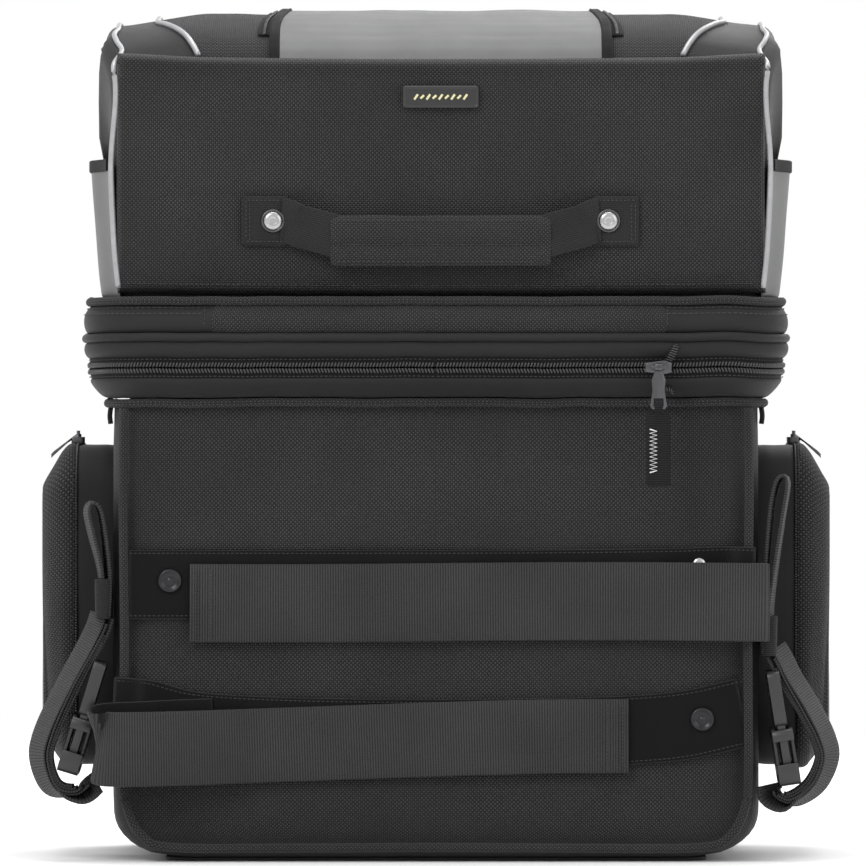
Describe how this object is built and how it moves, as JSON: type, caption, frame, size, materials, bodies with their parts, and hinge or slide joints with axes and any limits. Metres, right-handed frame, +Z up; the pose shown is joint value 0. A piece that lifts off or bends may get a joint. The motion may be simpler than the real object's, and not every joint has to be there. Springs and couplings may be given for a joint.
{
  "type": "motorcycle touring bag",
  "caption": "Black motorcycle luggage: an expandable main bag with side pockets and backrest straps, and a roll bag with a grey flap on top.",
  "frame": {"origin": "middle of the underside of the base mat, which stands on the seat or rack", "axes": "-Y looks out of the rear face, which meets the backrest; +X is to the right when looking at that face; +Z is up"},
  "size_m": [0.5179, 0.3448, 0.555],
  "materials": {
    "cordura": "woven, matt",
    "smooth_nylon": "smooth coated nylon",
    "webbing": "ribbed webbing",
    "grey_fabric": "grey coated fabric",
    "foam": "closed cell foam under lining",
    "mat": "non-slip mat",
    "badge": "moulded rubber",
    "board": "stiffening board",
    "plastic": "moulded, satin",
    "reflective": "silver reflective piping",
    "bright_metal": "domed caps",
    "dark_metal": "gunmetal"
  },
  "bodies": {
    "main_bag": {"body_shell": "cordura", "base_mat": "mat", "base_board": "board", "back_board": "board", "foam_liner": "foam", "rear_piping": "cordura", "rim_piping": "cordura", "expander_lower_band": "smooth_nylon", "expansion_gusset": "smooth_nylon", "upper_strap_base": "smooth_nylon", "upper_strap_snap": "dark_metal", "lower_strap_base": "smooth_nylon", "lower_strap_snap": "dark_metal", "strap_anchor_left": "webbing", "strap_anchor_right": "webbing", "strap_keeper_left": "webbing", "strap_keeper_right": "webbing", "side_pocket_gusset_left": "smooth_nylon", "side_pocket_gusset_right": "smooth_nylon", "front_pocket_gusset": "smooth_nylon"},
    "expander": {"expander_upper_band": "smooth_nylon", "lid_piping_lower": "cordura"},
    "lid": {"lid_panel": "cordura", "lid_piping_upper": "cordura", "roll_shell": "cordura", "roll_rear_panel": "cordura", "roll_end_pocket_left": "grey_fabric", "roll_end_pocket_right": "grey_fabric", "roll_edge_piping_left": "reflective", "roll_edge_piping_right": "reflective", "badge_patch": "badge", "roll_zip_tape": "smooth_nylon", "handle_tab_left": "webbing", "handle_tab_right": "webbing", "handle_rivet_left": "bright_metal", "handle_rivet_right": "bright_metal"},
    "roll_flap": {"roll_flap": "grey_fabric"},
    "carry_handle": {"handle_webbing": "webbing", "handle_grip": "cordura"},
    "expander_slider": {"expander_slider": "dark_metal"},
    "expander_pull": {"expander_pull": "dark_metal"},
    "expander_puller": {"expander_puller": "webbing"},
    "lid_slider": {"lid_slider": "dark_metal"},
    "lid_pull": {"lid_pull": "dark_metal"},
    "roll_slider": {"roll_slider": "dark_metal"},
    "roll_pull": {"roll_pull": "dark_metal"},
    "front_pocket_slider": {"front_pocket_slider": "dark_metal"},
    "side_pocket_slider_left": {"side_pocket_slider_left": "dark_metal"},
    "side_pocket_slider_right": {"side_pocket_slider_right": "dark_metal"},
    "front_pocket": {"front_pocket_panel": "cordura"},
    "side_pocket_left": {"side_pocket_panel_left": "cordura"},
    "side_pocket_right": {"side_pocket_panel_right": "cordura"},
    "upper_strap": {"upper_wide_strap": "webbing"},
    "lower_strap": {"lower_wide_strap": "webbing"},
    "strap_left": {"strap_bundle_left": "webbing", "buckle_female_left": "plastic"},
    "strap_right": {"strap_bundle_right": "webbing", "buckle_female_right": "plastic"},
    "buckle_left": {"buckle_male_left": "plastic"},
    "buckle_right": {"buckle_male_right": "plastic"}
  },
  "joints": [
    {"name": "expander_lift", "type": "slide", "parent": "main_bag", "child": "expander", "axis": [0, 0, 1], "range_m": [0, 0.05], "deforming": ["expansion_gusset"]},
    {"name": "lid_hinge", "type": "hinge", "parent": "expander", "child": "lid", "pos_m": [0, -0.153, 0.3436], "axis": [1, 0, 0], "range_deg": [0, 85]},
    {"name": "roll_flap_hinge", "type": "hinge", "parent": "lid", "child": "roll_flap", "pos_m": [0.003, -0.106, 0.537], "axis": [1, 0, 0], "range_deg": [0, 100]},
    {"name": "handle_swing", "type": "hinge", "parent": "lid", "child": "carry_handle", "pos_m": [0.003, -0.1479, 0.4205], "axis": [-1, 0, 0], "range_deg": [0, 75]},
    {"name": "expander_zip", "type": "slide", "parent": "main_bag", "child": "expander_slider", "axis": [-1, 0, 0], "range_m": [0, 0.288]},
    {"name": "expander_pull_swing", "type": "hinge", "parent": "expander_slider", "child": "expander_pull", "pos_m": [0.144, -0.1626, 0.3214], "axis": [-1, 0, 0], "range_deg": [0, 110]},
    {"name": "expander_puller_swing", "type": "hinge", "parent": "expander_pull", "child": "expander_puller", "pos_m": [0.144, -0.1626, 0.2954], "axis": [-1, 0, 0], "range_deg": [0, 60]},
    {"name": "lid_zip", "type": "slide", "parent": "expander", "child": "lid_slider", "axis": [1, 0, 0], "range_m": [-0.19, 0.19]},
    {"name": "lid_pull_swing", "type": "hinge", "parent": "lid_slider", "child": "lid_pull", "pos_m": [0, 0.1636, 0.3434], "axis": [1, 0, 0], "range_deg": [0, 110]},
    {"name": "roll_zip", "type": "slide", "parent": "lid", "child": "roll_slider", "axis": [1, 0, 0], "range_m": [-0.09, 0.09]},
    {"name": "roll_pull_swing", "type": "hinge", "parent": "roll_slider", "child": "roll_pull", "pos_m": [0.003, 0.1344, 0.4322], "axis": [1, 0, 0], "range_deg": [0, 110]},
    {"name": "front_pocket_zip", "type": "slide", "parent": "main_bag", "child": "front_pocket_slider", "axis": [-1, 0, 0], "range_m": [0, 0.18]},
    {"name": "side_pocket_zip_left", "type": "slide", "parent": "main_bag", "child": "side_pocket_slider_left", "axis": [0, 1, 0], "range_m": [0, 0.09]},
    {"name": "side_pocket_zip_right", "type": "slide", "parent": "main_bag", "child": "side_pocket_slider_right", "axis": [0, 1, 0], "range_m": [0, 0.09]},
    {"name": "front_pocket_open", "type": "hinge", "parent": "main_bag", "child": "front_pocket", "pos_m": [0, 0.1616, 0.0398], "axis": [-1, 0, 0], "range_deg": [0, 60]},
    {"name": "side_pocket_open_left", "type": "hinge", "parent": "main_bag", "child": "side_pocket_left", "pos_m": [-0.2376, 0.022, 0.0598], "axis": [0, -1, 0], "range_deg": [0, 60]},
    {"name": "side_pocket_open_right", "type": "hinge", "parent": "main_bag", "child": "side_pocket_right", "pos_m": [0.2376, 0.022, 0.0598], "axis": [0, 1, 0], "range_deg": [0, 60]},
    {"name": "upper_strap_peel", "type": "hinge", "parent": "main_bag", "child": "upper_strap", "pos_m": [0.212, -0.1445, 0.169], "axis": [0, 0, 1], "range_deg": [0, 80]},
    {"name": "lower_strap_peel", "type": "hinge", "parent": "main_bag", "child": "lower_strap", "pos_m": [-0.215, -0.1445, 0.079], "axis": [0, 0, -1], "range_deg": [0, 80]},
    {"name": "strap_swing_left", "type": "hinge", "parent": "main_bag", "child": "strap_left", "pos_m": [-0.221, -0.117, 0.152], "axis": [0, 1, 0], "range_deg": [0, 45]},
    {"name": "strap_swing_right", "type": "hinge", "parent": "main_bag", "child": "strap_right", "pos_m": [0.2245, -0.117, 0.131], "axis": [0, -1, 0], "range_deg": [0, 45]},
    {"name": "buckle_release_left", "type": "slide", "parent": "strap_left", "child": "buckle_left", "axis": [0.2924, 0, 0.9563], "range_m": [0, 0.008]},
    {"name": "buckle_release_right", "type": "slide", "parent": "strap_right", "child": "buckle_right", "axis": [-0.1564, 0, 0.9877], "range_m": [0, 0.008]}
  ]
}
